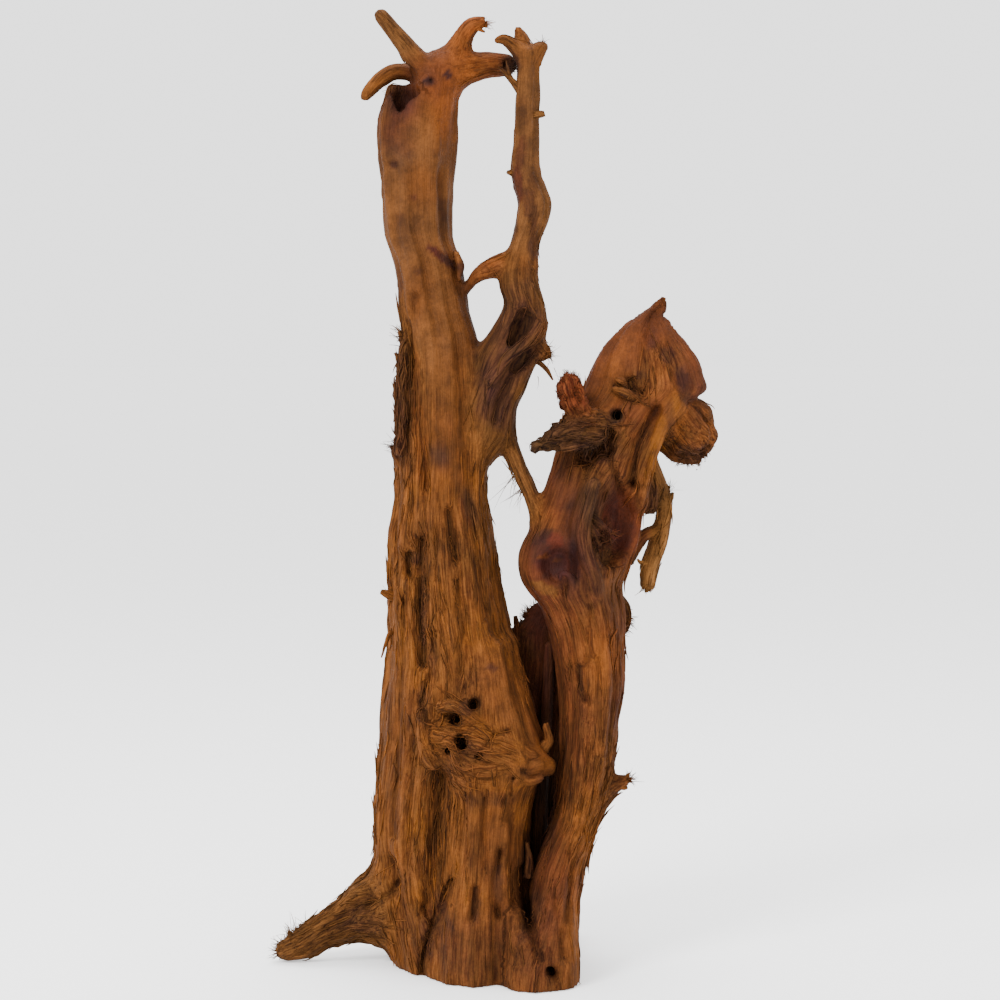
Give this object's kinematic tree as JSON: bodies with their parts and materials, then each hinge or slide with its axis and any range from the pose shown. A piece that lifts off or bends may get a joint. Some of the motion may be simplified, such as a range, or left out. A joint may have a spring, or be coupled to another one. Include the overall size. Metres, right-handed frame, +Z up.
{
  "type": "driftwood piece",
  "caption": "Upright piece of driftwood on a flat foot: a tall stem with broken stubs and a thin side arm, and a shorter hollowed stem with a paddle-shaped head.",
  "frame": {"origin": "on the flat foot at ground level, near the middle of the tall stem's base", "axes": "+X to the right in the front view, +Y away from the viewer, +Z up along the stems"},
  "size_m": [0.2819, 0.2054, 0.6096],
  "materials": {
    "driftwood_wood": "bare weathered root wood, matt and fibrous, orange brown, darker and reddish in the hollows, smoother and greyer brown on the tall stem"
  },
  "bodies": {
    "root": {"driftwood": "driftwood_wood"}
  },
  "joints": []
}
